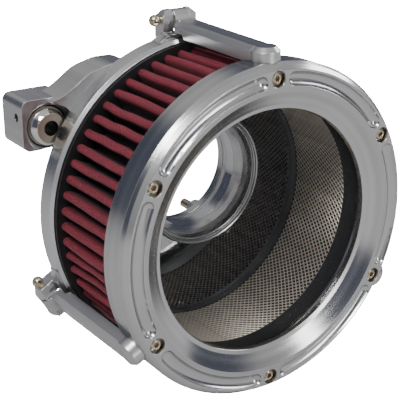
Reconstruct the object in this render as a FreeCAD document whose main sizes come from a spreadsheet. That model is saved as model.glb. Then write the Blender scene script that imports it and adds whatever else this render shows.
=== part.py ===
import FreeCAD, Part
import math
import os
import Sketcher
from FreeCAD import Placement, Rotation, Vector

# Open-element motorcycle air filter on a polished backplate, as a bench assembly.
#
# Frame: origin at the centre of the intake bore on the rear mounting face, -Y towards
# the clear cover, +Z up. The filter's own axis lies below the bore, parallel to Y.
# A "depth" is a distance forward of the rear face, so a point at depth d has Y = -d.
# A latch is drawn as if it stood at the top of the filter, then turned to its place;
# there X is across the latch and "height" is the distance from the filter axis.

SIZES = {
    # layout
    "axis_drop": 12.5, "level": 0.0, "slack": 0.3,
    # cover ring
    "front": 100.5, "face_outer": 92.5, "face_inner": 81.0, "corner_radius": 94.8, "corner_depth": 98.1,
    "side_radius": 96.2, "side_front": 96.0, "side_back": 81.8, "cavity_radius": 92.6,
    "ledge_depth": 88.0, "lens_seat": 91.5, "lens_pocket": 78.4, "opening_radius": 69.6,
    "lip_radius": 72.5, "lip_depth": 95.0, "lip_foot_radius": 70.2, "lip_foot_depth": 94.2,
    # screws and grooves in the face of the ring
    "screw_circle": 88.0, "head_hole": 4.6, "head_floor": 96.5, "head_radius": 3.9,
    "head_top": 99.4, "head_rim": 98.3, "shank_radius": 2.0, "groove_circle": 87.6,
    "groove_tube": 4.2, "groove_lift": 1.5, "groove_half_angle": 23.0,
    # lens, gasket and retainer
    "lens_radius": 78.0, "lens_back": 88.0, "lens_front": 91.0, "gasket_inner": 71.5,
    "retainer_inner": 74.6, "retainer_outer": 92.2, "retainer_back": 84.9,
    # filter element
    "cap_outer": 91.6, "rear_cap_outer": 93.0, "collar_inner": 74.2, "collar_outer": 76.0,
    "front_cap_back": 80.5,
    "front_collar_back": 73.1, "rear_cap_back": 14.2, "rear_cap_front": 23.5,
    "rear_collar_front": 28.5, "pleat_tip": 90.0, "pleat_valley": 79.5, "pleat_root": 76.2,
    "pleat_count": 60, "screen_inner": 74.6, "screen_outer": 75.4,
    # backplate
    "plate_back": 8.9, "rim_radius": 95.7, "rim_shoulder": 20.1, "rim_lip_radius": 93.8,
    "rim_front": 21.6, "rim_inner": 93.3, "channel_floor": 14.0, "boss_radius": 73.9,
    "boss_face": 24.5, "stack_seat": 16.5, "stack_hole": 37.2, "throat_radius": 33.7,
    # velocity stack
    "flare_radius": 37.6, "flare_depth": 30.6, "lip_groove_depth": 29.9, "stack_lip_inner": 38.5,
    "stack_lip_top": 33.2, "stack_lip_outer": 40.5, "stack_lip_low": 30.6, "stack_neck": 38.4,
    # throttle adapter
    "bore_radius": 33.3, "adapter_outer": 52.0, "bore_groove_radius": 34.6,
    "bore_groove_back": 5.0, "bore_groove_mid": 5.6, "bore_groove_front": 6.2,
    "seal_circle": 35.2, "seal_section": 1.3, "throttle_circle": 43.0, "throttle_shank": 3.0,
    "throttle_waist": 2.55, "throttle_thread_front": -9.9,
    "throttle_tip": -21.5, "throttle_head": 5.0, "throttle_head_depth": 6.0,
    "dowel_radius": 6.0, "dowel_bore": 3.2, "dowel_back": -9.5, "dowel_seat": 4.0,
    "adapter_screw_circle": 48.0, "adapter_screw_radius": 1.75, "adapter_screw_head": 3.2,
    "adapter_screw_end": 14.5,
    # latch arms
    "hinge_radius": 104.5, "hinge_depth": 7.5, "barrel_radius": 5.5, "barrel_plain": 4.0,
    "barrel_knob": 5.8, "neck_low": 99.2, "neck_end": 16.0, "bar_start": 14.2, "bar_half": 8.0,
    "heel_low": 98.0, "heel_end": 21.8, "belly_start": 24.0, "belly_rear": 95.4,
    "belly_end": 81.2, "seat_low": 94.8, "arm_top_rear": 104.5,
    "arm_top_front": 103.2, "arm_bevel": 3.0, "nose_depth": 88.5, "nose_radius": 8.2,
    "nose_top": 103.5, "nose_bevel": 2.4, "peg_radius": 3.0, "peg_end": 93.4, "peg_hole": 4.2,
    "seat_floor": 94.6, "seat_radius": 8.5,
    # lugs and hinge pins
    "plain_inner": 4.3, "plain_outer": 9.6, "knob_inner": 6.1, "knob_outer": 13.3,
    "ear_foot": 93.8, "ear_back": 2.0, "ear_back_top": 105.5, "ear_crown_back": 5.2,
    "ear_crown_front": 8.6, "ear_crown": 110.0, "ear_front": 11.0, "ear_front_top": 107.2,
    "flank_half": 20.0, "flank_foot": 93.7, "flank_top": 97.4, "flank_top_half": 13.3,
    "flank_front": 17.0, "pin_radius": 2.4, "pin_bore": 2.45, "knob_ball": 3.4,
    "knob_across": 16.9, "ear_round": 3.2,
    # head mounts
    "block_left": -100.5, "block_right": -70.0, "block_low": 27.3, "block_high": 56.5,
    "block_round": 4.5, "right_drop": 9.0,
    "block_back": -21.5, "block_front": 3.4, "ball_across": -85.0, "ball_height": 40.0,
    "ball_depth": -1.3, "ball_radius": 12.0, "ball_half_width": 8.6, "ball_hole": 4.2,
    "socket_radius": 12.06, "socket_mouth": 13.6, "socket_mouth_depth": 1.6, "neck_back": -12.0,
    "set_height": 46.0, "set_depth": -4.0, "set_radius": 2.5, "set_outer": -100.2,
    "set_inner": -97.0, "set_hex": 1.3, "set_hex_depth": 1.8,
    "arm_screw_radius": 3.0, "arm_screw_head": 5.0, "arm_screw_head_height": 5.0,
    "arm_screw_end": 13.6, "near_screw_across": -56.0, "near_screw_height": 43.0,
    "far_screw_across": -38.0, "far_screw_height": 56.0,
}

NECKS = {
    "left": [(-84.0, 30.0), (-84.0, 55.5), (-77.0, 57.5), (-70.0, 61.8), (-61.0, 68.0), (-47.0, 71.6),
             (-32.0, 71.2), (-24.0, 58.0), (-40.0, 36.0), (-62.0, 30.0)],
    "right": [(84.0, 30.0), (84.0, 55.5), (77.0, 57.5), (70.0, 61.8), (61.0, 68.0), (47.0, 71.6),
              (32.0, 71.2), (28.0, 61.0), (48.0, 37.0), (62.0, 30.0)],
}
MOUNT_DROPS = {"left": "level", "right": "right_drop"}
NECK_ROUNDS = {22.0: (2, 3, 4, 5), 9.0: (6,)}
RING_ANGLES = [30, 90, 150, 210, 270, 330]
THROTTLE_ANGLES = [60, 180, 300]
ADAPTER_ANGLES = [0, 120, 240]
LATCHES = {"upper": (90, -1), "left": (210, 1), "right": (330, -1)}

doc = FreeCAD.newDocument("air_filter")
sheet = doc.addObject("Spreadsheet::Sheet", "dims")
for row, (alias, size) in enumerate(SIZES.items(), start=1):
    sheet.set(f"A{row}", alias)
    sheet.set(f"B{row}", str(size))
    sheet.setAlias(f"B{row}", alias)
doc.recompute()

subparts = []


def dim(alias):
    """Number in the sheet under this alias; a leading minus turns its sign."""
    if alias.startswith("-"):
        return -sheet.get(alias[1:])
    return sheet.get(alias)


def term(alias):
    """Expression text for an alias, with its sign."""
    if alias.startswith("-"):
        return "-dims." + alias[1:]
    return "dims." + alias


def turn_to(angle):
    """Placement that turns a part drawn at the top to this angle about the filter axis."""
    return Placement(Vector(0, 0, 0), Rotation(Vector(0, 1, 0), 90 - angle))


def finish(item, label, angle=90, lower="axis_drop"):
    """Label a sub-part, turn it from the top to its angle and lower it to its height."""
    item.Label = label
    base = Placement(Vector(0, 0, -dim(lower)), Rotation())
    item.Placement = base.multiply(turn_to(angle)).multiply(item.Placement)
    subparts.append(item)
    return item


def plane_of(body, role):
    return [item for item in body.Origin.OriginFeatures if item.Role == role][0]


def outline(body, role, points):
    """Closed sketch of straight runs; a coordinate is an alias or a plain number."""
    sketch = body.newObject("Sketcher::SketchObject", body.Name + "_sketch")
    sketch.AttachmentSupport = (plane_of(body, role), [""])
    sketch.MapMode = "FlatFace"
    places = [[dim(c) if isinstance(c, str) else c for c in point] for point in points]
    count = len(points)
    for i in range(count):
        start = Vector(places[i][0], places[i][1], 0)
        end = Vector(places[(i + 1) % count][0], places[(i + 1) % count][1], 0)
        sketch.addGeometry(Part.LineSegment(start, end), False)
    for i in range(count):
        sketch.addConstraint(Sketcher.Constraint("Coincident", i, 2, (i + 1) % count, 1))
    for i, point in enumerate(points):
        for kind, value, coordinate in zip(("DistanceX", "DistanceY"), places[i], point):
            if value == 0:
                line = -2 if kind == "DistanceX" else -1
                sketch.addConstraint(Sketcher.Constraint("PointOnObject", i, 1, line))
                continue
            index = sketch.addConstraint(Sketcher.Constraint(kind, -1, 1, i, 1, value))
            if isinstance(coordinate, str):
                sketch.setExpression(f"Constraints[{index}]", term(coordinate))
    return sketch


def turned(name, points):
    """Body turned about the Y axis from (radius, depth) points."""
    body = doc.addObject("PartDesign::Body", name)
    profile = [(radius, "-" + depth if isinstance(depth, str) else -depth) for radius, depth in points]
    sketch = outline(body, "XY_Plane", profile)
    turn = body.newObject("PartDesign::Revolution", name + "_turn")
    turn.Profile = sketch
    turn.ReferenceAxis = (sketch, ["V_Axis"])
    turn.Angle = 360
    return body


def ring(name, inner, outer, back, front):
    """Plain ring between two radii and two depths."""
    return turned(name, [(inner, back), (outer, back), (outer, front), (inner, front)])


def bind(item, **terms):
    for field, text in terms.items():
        item.setExpression(field, text)
    return item


def box(name, x, y, z, length, width, height):
    """Box from its low corner; every argument is expression text."""
    item = doc.addObject("Part::Box", name)
    bind(item, Length=length, Width=width, Height=height)
    place(item, x, y, z)
    return item


def place(item, x, y, z):
    item.setExpression("Placement.Base.x", x)
    item.setExpression("Placement.Base.y", y)
    item.setExpression("Placement.Base.z", z)


def rod(name, radius, height, way, x, y, z):
    """Cylinder that starts at x, y, z and runs along the vector way."""
    item = doc.addObject("Part::Cylinder", name)
    bind(item, Radius=radius, Height=height)
    item.Placement = Placement(Vector(0, 0, 0), Rotation(Vector(0, 0, 1), Vector(*way)))
    place(item, x, y, z)
    return item


def cone(name, radius, far_radius, height, way, x, y, z):
    item = doc.addObject("Part::Cone", name)
    bind(item, Radius1=radius, Radius2=far_radius, Height=height)
    item.Placement = Placement(Vector(0, 0, 0), Rotation(Vector(0, 0, 1), Vector(*way)))
    place(item, x, y, z)
    return item


def ball(name, radius, x, y, z):
    item = doc.addObject("Part::Sphere", name)
    bind(item, Radius=radius)
    place(item, x, y, z)
    return item


def joined(name, pieces):
    item = doc.addObject("Part::MultiFuse", name)
    item.Shapes = pieces
    item.Refine = True
    return item


def grouped(name, pieces):
    item = doc.addObject("Part::Compound", name)
    item.Links = pieces
    return item


def cut(name, base, tools):
    item = doc.addObject("Part::Cut", name)
    item.Base = base
    item.Tool = tools[0] if len(tools) == 1 else joined(name + "_tools", tools)
    item.Refine = True
    return item


FORWARD = (0, -1, 0)
SIDEWAYS = (1, 0, 0)
UPWARD = (0, 0, 1)


def polar(circle, angle):
    """Expression text for x and z on a circle, angle anticlockwise seen from the front."""
    return f"dims.{circle} * cos({angle})", f"dims.{circle} * sin({angle})"


def forward_rods(name, circle, angles, radius, back, front):
    """Equal rods that run forward between two depths, spaced round a circle."""
    rods = []
    for i, angle in enumerate(angles):
        x, z = polar(circle, angle)
        height = f"dims.{front} - dims.{back}"
        rods.append(rod(f"{name}_{i}", f"dims.{radius}", height, FORWARD, x, f"-dims.{back}", z))
    return rods


# ---- cover ring, lens and their fasteners ----

def cover_ring():
    body = turned("ring_body", [
        ("face_inner", "front"), ("face_outer", "front"), ("corner_radius", "corner_depth"),
        ("side_radius", "side_front"), ("side_radius", "side_back"), ("cavity_radius", "side_back"),
        ("cavity_radius", "ledge_depth"), ("lens_pocket", "ledge_depth"), ("lens_pocket", "lens_seat"),
        ("opening_radius", "lens_seat"), ("lip_foot_radius", "lip_foot_depth"), ("lip_radius", "lip_depth")])
    tools = forward_rods("ring_counterbore", "screw_circle", RING_ANGLES, "head_hole", "head_floor", "front")
    tools += forward_rods("ring_hole", "screw_circle", RING_ANGLES, "shank_radius", "ledge_depth", "front")
    for i, angle in enumerate(RING_ANGLES):
        tools += face_groove(i, angle + 30)
    for name, (angle, side) in LATCHES.items():
        tools += latch_seat(name, angle)
    finish(cut("ring_cut", body, tools), "cover_ring")


def face_groove(i, angle):
    """Ball-nose groove along the face between two screws, with round ends."""
    groove = doc.addObject("Part::Torus", f"groove_{i}")
    bind(groove, Radius1="dims.groove_circle", Radius2="dims.groove_tube",
         Angle3="2 * dims.groove_half_angle")
    start = angle - dim("groove_half_angle")
    lift = -(dim("front") + dim("groove_lift"))
    upright = Rotation(Vector(1, 0, 0), 90)
    groove.Placement = Placement(Vector(0, lift, 0), Rotation(Vector(0, 1, 0), -start).multiply(upright))
    groove.setExpression("Placement.Base.y", "-(dims.front + dims.groove_lift)")
    ends = []
    for side in (-1, 1):
        x, z = polar("groove_circle", f"{angle} + {side} * dims.groove_half_angle")
        y = "-(dims.front + dims.groove_lift)"
        ends.append(ball(f"groove_{i}_end_{side + 1}", "dims.groove_tube", x, y, z))
    return [groove] + ends


def latch_seat(name, angle):
    """Flat seat for the front of a latch arm, with the pocket for its peg."""
    slot = box(f"seat_{name}", "-dims.seat_radius", "-dims.nose_depth", "dims.seat_floor",
               "2 * dims.seat_radius", "dims.nose_depth - dims.side_back + dims.slack",
               "dims.side_radius - dims.seat_floor + dims.slack")
    end = rod(f"seat_end_{name}", "dims.seat_radius", "dims.side_radius - dims.seat_floor + dims.slack",
              UPWARD, "0", "-dims.nose_depth", "dims.seat_floor")
    pocket = rod(f"peg_pocket_{name}", "dims.peg_hole", "dims.side_radius - dims.cavity_radius",
                 UPWARD, "0", "-dims.nose_depth", "dims.cavity_radius - dims.slack")
    tools = grouped(f"seat_tools_{name}", [slot, end, pocket])
    tools.Placement = turn_to(angle)
    return [tools]


def ring_screws():
    """Button heads with a driver socket, one solid for each screw."""
    screws = []
    for i, angle in enumerate(RING_ANGLES):
        x, z = polar("screw_circle", angle)
        head_height = "dims.head_rim - dims.head_floor"
        head = rod(f"screw_head_{i}", "dims.head_radius", head_height, FORWARD, x, "-dims.head_floor", z)
        dome = cone(f"screw_dome_{i}", "dims.head_radius", "dims.head_radius * 0.62",
                    "dims.head_top - dims.head_rim", FORWARD, x, "-dims.head_rim", z)
        shank = rod(f"screw_shank_{i}", "dims.shank_radius", "dims.head_floor - dims.retainer_back",
                    FORWARD, x, "-dims.retainer_back", z)
        whole = joined(f"screw_whole_{i}", [head, dome, shank])
        socket = six_lobe(f"screw_socket_{i}", angle)
        screws.append(cut(f"screw_{i}", whole, [socket]))
    finish(grouped("ring_screw_group", screws), "ring_screws")


def six_lobe(name, angle):
    """Six-lobe driver socket: two triangles of rounded lobes, as a round bore with six notches."""
    centre_x = dim("screw_circle") * math.cos(math.radians(angle))
    centre_z = dim("screw_circle") * math.sin(math.radians(angle))
    reach = dim("head_radius") * 0.42
    depth = dim("head_top") - dim("head_floor")
    place_at = Vector(centre_x, -dim("head_floor") - 0.4, centre_z)
    core = Part.makeCylinder(reach * 0.8, depth, place_at, Vector(*FORWARD))
    lobes = []
    for k in range(6):
        turn = math.radians(60 * k)
        shift = Vector(reach * 0.8 * math.cos(turn), 0, reach * 0.8 * math.sin(turn))
        lobes.append(Part.makeCylinder(reach * 0.3, depth, place_at + shift, Vector(*FORWARD)))
    item = doc.addObject("Part::Feature", name)
    item.Shape = core.multiFuse(lobes).removeSplitter()
    return item


def lens():
    body = turned("lens_body", [(0, "lens_back"), ("lens_radius", "lens_back"),
                                ("lens_radius", "lens_front"), (0, "lens_front")])
    finish(body, "lens")


def lens_gasket():
    finish(ring("gasket_body", "gasket_inner", "lens_radius", "lens_front", "lens_seat"), "lens_gasket")


def lens_retainer():
    body = ring("retainer_body", "retainer_inner", "retainer_outer", "retainer_back", "ledge_depth")
    holes = forward_rods("retainer_hole", "screw_circle", RING_ANGLES, "shank_radius",
                         "retainer_back", "ledge_depth")
    finish(cut("retainer_cut", body, holes), "lens_retainer")


# ---- filter element ----

def filter_caps():
    front = turned("front_cap_body", [
        ("collar_inner", "front_collar_back"), ("collar_outer", "front_collar_back"),
        ("collar_outer", "front_cap_back"), ("cap_outer", "front_cap_back"),
        ("cap_outer", "retainer_back"), ("collar_inner", "retainer_back")])
    finish(front, "filter_front_cap")
    rear = turned("rear_cap_body", [
        ("collar_inner", "rear_cap_back"), ("rear_cap_outer", "rear_cap_back"),
        ("rear_cap_outer", "rear_cap_front"), ("collar_outer", "rear_cap_front"),
        ("collar_outer", "rear_collar_front"), ("collar_inner", "rear_collar_front")])
    finish(rear, "filter_rear_cap")


def filter_media():
    """Pleated media as one closed ring: a zigzag outside and a round wall inside."""
    count = int(dim("pleat_count"))
    corners = []
    for i in range(2 * count + 1):
        radius = dim("pleat_tip") if i % 2 == 0 else dim("pleat_valley")
        turn = math.pi * i / count
        corners.append(Vector(radius * math.cos(turn), -dim("rear_cap_front"), radius * math.sin(turn)))
    run = Vector(0, dim("rear_cap_front") - dim("front_cap_back"), 0)
    star = Part.Face(Part.makePolygon(corners)).extrude(run)
    start = Vector(0, -dim("rear_cap_front"), 0)
    hollow = Part.makeCylinder(dim("pleat_root"), run.Length, start, Vector(*FORWARD))
    item = doc.addObject("Part::Feature", "media_shape")
    item.Shape = star.cut(hollow)
    finish(item, "filter_media")


def filter_screen():
    body = ring("screen_body", "screen_inner", "screen_outer", "rear_collar_front", "front_collar_back")
    finish(body, "filter_inner_screen")


# ---- backplate, stack and throttle adapter ----

def backplate():
    plate = turned("plate_body", [
        (20.0, "plate_back"), ("rim_radius", "plate_back"), ("rim_radius", "rim_shoulder"),
        ("rim_lip_radius", "rim_front"), ("rim_inner", "rim_front"), ("rim_inner", "channel_floor"),
        ("boss_radius", "channel_floor"), ("boss_radius", "boss_face"), (20.0, "boss_face")])
    pieces = [plate]
    tools = []
    for name, (angle, side) in LATCHES.items():
        solids, holes = lug(name, angle, side)
        pieces += solids
        tools += holes
    tools += raised("plate_bore", "throat_radius", "plate_back", "boss_face")
    tools += raised("plate_stack_hole", "stack_hole", "stack_seat", "boss_face")
    tools += throttle_tools("plate", "plate_back", "boss_face")
    tools += adapter_tools("plate", "plate_back", "adapter_screw_end")
    for side in ("left", "right"):
        rise = f"dims.axis_drop - dims.{MOUNT_DROPS[side]}"
        tools += arm_screw_rods(f"plate_{side}", side, "plate_back", "arm_screw_end",
                                "arm_screw_radius", rise)
    finish(cut("plate_cut", joined("plate_whole", pieces), tools), "backplate")


def raised(name, radius, back, front):
    """Rod on the bore axis, for a body that is drawn about the filter axis."""
    height = f"dims.{front} - dims.{back}"
    return [rod(name, f"dims.{radius}", height, FORWARD, "0", f"-dims.{back}", "dims.axis_drop")]


def throttle_tools(name, back, front):
    """Clearance holes and head counterbores for the throttle screws."""
    tools = []
    for i, angle in enumerate(THROTTLE_ANGLES):
        x, z = polar("throttle_circle", angle)
        z = z + " + dims.axis_drop"
        tools.append(rod(f"{name}_throttle_{i}", "dims.throttle_shank", f"dims.{front} - dims.{back}",
                         FORWARD, x, f"-dims.{back}", z))
        tools.append(rod(f"{name}_throttle_head_{i}", "dims.throttle_head + dims.slack",
                         "dims.throttle_head_depth", FORWARD, x,
                         f"-(dims.{front} - dims.throttle_head_depth)", z))
    return tools


def adapter_tools(name, back, front):
    tools = []
    for i, angle in enumerate(ADAPTER_ANGLES):
        x, z = polar("adapter_screw_circle", angle)
        tools.append(rod(f"{name}_adapter_{i}", "dims.adapter_screw_radius",
                         f"dims.{front} - dims.{back}", FORWARD, x, f"-dims.{back}",
                         z + " + dims.axis_drop"))
    return tools


def arm_screw_rods(name, side, back, front, radius, rise="0"):
    """Rods along the screws that hold a mount arm to the plate, raised by the text rise."""
    sign = "" if side == "left" else "-"
    rods = []
    for which in ("near", "far"):
        x = f"{sign}dims.{which}_screw_across"
        z = f"dims.{which}_screw_height + {rise}"
        rods.append(rod(f"{name}_screw_{which}", f"dims.{radius}", f"dims.{front} - dims.{back}",
                        FORWARD, x, f"-dims.{back}", z))
    return rods


def side_pad(name, points, low, width):
    """Body drawn in depth and height, and padded across from the text low over the text width."""
    body = doc.addObject("PartDesign::Body", name)
    sketch = outline(body, "YZ_Plane", [("-" + depth, height) for depth, height in points])
    sketch.setExpression("AttachmentOffset.Base.z", low)
    pad = body.newObject("PartDesign::Pad", name + "_pad")
    pad.Profile = sketch
    pad.setExpression("Length", width)
    return body


def lug(name, angle, side):
    """A wide ear by the pin's knob and a narrow one at its plain end, on a flared foot."""
    solids = [ear(name, "knob", side), ear(name, "plain", -side), flared_foot(name)]
    whole = joined(f"lug_{name}", solids)
    whole.Placement = turn_to(angle)
    bore = grouped(f"lug_{name}_bore", [pin_rod(f"lug_{name}_bore_rod", side)])
    bore.Placement = turn_to(angle)
    return [whole], [bore]


def ear(name, kind, side):
    """Ear with its crown bevelled to the front, to the back and on the outside."""
    low = f"dims.{kind}_inner" if side > 0 else f"-dims.{kind}_outer"
    profile = side_pad(f"ear_{name}_{kind}", [
        ("ear_back", "ear_foot"), ("ear_front", "ear_foot"), ("ear_front", "ear_front_top"),
        ("ear_crown_front", "ear_crown"), ("ear_crown_back", "ear_crown"),
        ("ear_back", "ear_back_top")], low, f"dims.{kind}_outer - dims.{kind}_inner")
    inner, outer = (side * dim(f"{kind}_inner"), side * dim(f"{kind}_outer"))
    shoulder = dim("ear_crown") - dim("ear_round")
    front = doc.addObject("PartDesign::Body", f"ear_front_{name}_{kind}")
    prism(front, "pad", [
        (inner, "ear_foot"), (outer, "ear_foot"), (outer, shoulder),
        (outer - side * dim("ear_round"), "ear_crown"), (inner, "ear_crown")], "ear_back", "ear_front")
    both = doc.addObject("Part::MultiCommon", f"ear_both_{name}_{kind}")
    both.Shapes = [profile, front]
    return both


def flared_foot(name):
    """Low block between the rim and the ears whose flanks slope down to the rim."""
    body = doc.addObject("PartDesign::Body", f"foot_{name}")
    prism(body, "pad", [
        ("-flank_half", "flank_foot"), ("flank_half", "flank_foot"), ("flank_top_half", "flank_top"),
        ("-flank_top_half", "flank_top")], "plate_back", "flank_front")
    return body


def pin_rod(name, side):
    """Rod from the plain ear's outside to the wide ear's outside."""
    low = "-dims.plain_outer" if side > 0 else "-dims.knob_outer"
    return rod(name, "dims.pin_radius", "dims.plain_outer + dims.knob_outer", SIDEWAYS, low,
               "-dims.hinge_depth", "dims.hinge_radius")


def velocity_stack():
    body = turned("stack_body", [
        ("throat_radius", "stack_seat"), ("stack_hole", "stack_seat"), ("stack_hole", "boss_face"),
        ("stack_neck", "flare_depth"), ("stack_lip_outer", "stack_lip_low"),
        (40.9, 31.6), (40.5, 32.7), (39.6, "stack_lip_top"), (38.9, 32.9),
        ("stack_lip_inner", 32.2), (38.1, "lip_groove_depth"), (37.7, "lip_groove_depth"),
        ("flare_radius", "flare_depth"), (35.9, 27.6), (34.8, 24.2), (34.1, 20.6)])
    finish(body, "velocity_stack", lower="level")


def throttle_adapter():
    body = turned("adapter_body", [
        ("bore_radius", 0), ("adapter_outer", 0), ("adapter_outer", "plate_back"),
        ("throat_radius", "plate_back"), ("bore_radius", "bore_groove_front"),
        ("bore_groove_radius", "bore_groove_mid"), ("bore_radius", "bore_groove_back")])
    tools = []
    for i, angle in enumerate(THROTTLE_ANGLES):
        x, z = polar("throttle_circle", angle)
        tools.append(rod(f"adapter_hole_{i}", "dims.throttle_shank", "dims.plate_back", FORWARD, x, "0", z))
        tools.append(rod(f"adapter_seat_{i}", "dims.dowel_radius", "dims.dowel_seat", FORWARD, x, "0", z))
    for i, angle in enumerate(ADAPTER_ANGLES):
        x, z = polar("adapter_screw_circle", angle)
        tools.append(rod(f"adapter_clear_{i}", "dims.adapter_screw_radius", "dims.plate_back",
                         FORWARD, x, "0", z))
        tools.append(cone(f"adapter_sink_{i}", "dims.adapter_screw_head", "dims.adapter_screw_radius",
                          "dims.adapter_screw_head - dims.adapter_screw_radius", FORWARD, x, "0", z))
    seat = doc.addObject("Part::Torus", "adapter_seal_groove")
    bind(seat, Radius1="dims.seal_circle", Radius2="dims.seal_section")
    seat.Placement = Placement(Vector(0, 0, 0), Rotation(Vector(1, 0, 0), 90))
    seat.setExpression("Placement.Base.y", "-dims.seal_section * 0.6")
    tools.append(seat)
    finish(cut("adapter_cut", body, tools), "throttle_adapter", lower="level")


def adapter_seal():
    """O-ring in the rear face, proud of it by two fifths of its section radius."""
    seal = doc.addObject("Part::Torus", "seal_torus")
    bind(seal, Radius1="dims.seal_circle", Radius2="dims.seal_section")
    seal.Placement = Placement(Vector(0, 0, 0), Rotation(Vector(1, 0, 0), 90))
    seal.setExpression("Placement.Base.y", "-dims.seal_section * 0.6")
    finish(seal, "adapter_seal", lower="level")


def throttle_screws():
    screws = []
    sleeves = []
    for i, angle in enumerate(THROTTLE_ANGLES):
        x, z = polar("throttle_circle", angle)
        head_back = "dims.boss_face - dims.throttle_head_depth"
        waist = rod(f"throttle_waist_{i}", "dims.throttle_waist", f"{head_back} - dims.throttle_tip",
                    FORWARD, x, "-dims.throttle_tip", z)
        thread = rod(f"throttle_thread_{i}", "dims.throttle_shank",
                     "dims.throttle_thread_front - dims.throttle_tip", FORWARD, x,
                     "-dims.throttle_tip", z)
        head = rod(f"throttle_head_{i}", "dims.throttle_head", "dims.throttle_head_depth", FORWARD,
                   x, f"-({head_back})", z)
        socket = rod(f"throttle_socket_{i}", "dims.throttle_head * 0.5", "dims.throttle_head_depth * 0.5",
                     FORWARD, x, "-(dims.boss_face - dims.throttle_head_depth * 0.5)", z)
        whole = joined(f"throttle_whole_{i}", [waist, thread, head])
        screws.append(cut(f"throttle_screw_{i}", whole, [socket]))
        outer = rod(f"dowel_outer_{i}", "dims.dowel_radius", "dims.dowel_seat - dims.dowel_back",
                    FORWARD, x, "-dims.dowel_back", z)
        inner = rod(f"dowel_inner_{i}", "dims.dowel_bore", "dims.dowel_seat - dims.dowel_back",
                    FORWARD, x, "-dims.dowel_back", z)
        sleeves.append(cut(f"dowel_{i}", outer, [inner]))
    finish(grouped("throttle_screw_group", screws), "throttle_screws", lower="level")
    finish(grouped("dowel_group", sleeves), "dowel_sleeves", lower="level")


def adapter_screws():
    screws = []
    for i, angle in enumerate(ADAPTER_ANGLES):
        x, z = polar("adapter_screw_circle", angle)
        shank = rod(f"adapter_shank_{i}", "dims.adapter_screw_radius", "dims.adapter_screw_end", FORWARD,
                    x, "0", z)
        head = cone(f"adapter_head_{i}", "dims.adapter_screw_head", "dims.adapter_screw_radius",
                    "dims.adapter_screw_head - dims.adapter_screw_radius", FORWARD, x, "0", z)
        socket = rod(f"adapter_socket_{i}", "dims.adapter_screw_radius * 0.7",
                     "dims.adapter_screw_radius", FORWARD, x, "0", z)
        screws.append(cut(f"adapter_screw_{i}", joined(f"adapter_whole_{i}", [shank, head]), [socket]))
    finish(grouped("adapter_screw_group", screws), "adapter_screws", lower="level")


# ---- latch arms ----

def latch_arm(name, angle, side):
    """Bevelled bar from the hinge barrel to a round nose whose peg enters the cover ring."""
    bar = side_pad(f"bar_{name}", [
        ("bar_start", "heel_low"), ("heel_end", "heel_low"), ("belly_start", "belly_rear"),
        ("belly_end", "seat_low"), ("nose_depth", "seat_low"), ("nose_depth", "arm_top_front"),
        ("bar_start", "arm_top_rear")], "-dims.bar_half", "2 * dims.bar_half")
    bevel_top_edges(bar)
    low = "-dims.barrel_plain" if side > 0 else "-dims.barrel_knob"
    width = "dims.barrel_plain + dims.barrel_knob"
    barrel = rod(f"barrel_{name}", "dims.barrel_radius", width, SIDEWAYS, low,
                 "-dims.hinge_depth", "dims.hinge_radius")
    neck = box(f"arm_neck_{name}", low, "-dims.neck_end", "dims.neck_low", width,
               "dims.neck_end - dims.hinge_depth", "dims.hinge_radius - dims.neck_low")
    nose = rod(f"nose_{name}", "dims.nose_radius", "dims.nose_top - dims.nose_bevel - dims.seat_low",
               UPWARD, "0", "-dims.nose_depth", "dims.seat_low")
    cap = cone(f"nose_cap_{name}", "dims.nose_radius", "dims.nose_radius - dims.nose_bevel",
               "dims.nose_bevel", UPWARD, "0", "-dims.nose_depth", "dims.nose_top - dims.nose_bevel")
    peg = rod(f"peg_{name}", "dims.peg_radius", "dims.seat_low - dims.peg_end", UPWARD,
              "0", "-dims.nose_depth", "dims.peg_end")
    bore = rod(f"arm_bore_{name}", "dims.pin_bore", width, SIDEWAYS, low,
               "-dims.hinge_depth", "dims.hinge_radius")
    whole = joined(f"arm_whole_{name}", [bar, barrel, neck, nose, cap, peg])
    finish(cut(f"arm_{name}", whole, [bore]), f"latch_arm_{name}", angle)


def bevel_top_edges(bar):
    """Chamfer the two long top edges of a bar that is padded across."""
    doc.recompute()
    pad = bar.Tip
    names = []
    for i, edge in enumerate(pad.Shape.Edges, start=1):
        ends = [vertex.Point for vertex in edge.Vertexes]
        high = all(end.z > dim("arm_top_front") - dim("slack") for end in ends)
        if high and abs(ends[0].y - ends[1].y) > dim("bar_half"):
            names.append(f"Edge{i}")
    bevel = bar.newObject("PartDesign::Chamfer", bar.Name + "_bevel")
    bevel.Base = (pad, names)
    bevel.setExpression("Size", "dims.arm_bevel")


def hinge_pin(name, angle, side):
    """Pin with a ball knob outside the wide ear."""
    knob = ball(f"knob_{name}", "dims.knob_ball", f"{side} * dims.knob_across",
                "-dims.hinge_depth", "dims.hinge_radius")
    pin = joined(f"pin_whole_{name}", [pin_rod(f"pin_{name}", side), pin_tip(name, side), knob])
    finish(pin, f"hinge_pin_{name}", angle)


def pin_tip(name, side):
    """Short run of the pin between the wide ear and the knob."""
    low = "dims.knob_outer" if side > 0 else "-dims.knob_across"
    return rod(f"pin_tip_{name}", "dims.pin_radius - dims.slack", "dims.knob_across - dims.knob_outer",
               SIDEWAYS, low, "-dims.hinge_depth", "dims.hinge_radius")


# ---- head mounts ----

def prism(body, tag, points, back, front):
    """Pad of an outline in X and Z between two depths."""
    sketch = outline(body, "XZ_Plane", points)
    sketch.setExpression("AttachmentOffset.Base.z", f"dims.{back}")
    pad = body.newObject("PartDesign::Pad", f"{body.Name}_{tag}")
    pad.Profile = sketch
    pad.setExpression("Length", f"dims.{front} - dims.{back}")
    return pad


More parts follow.
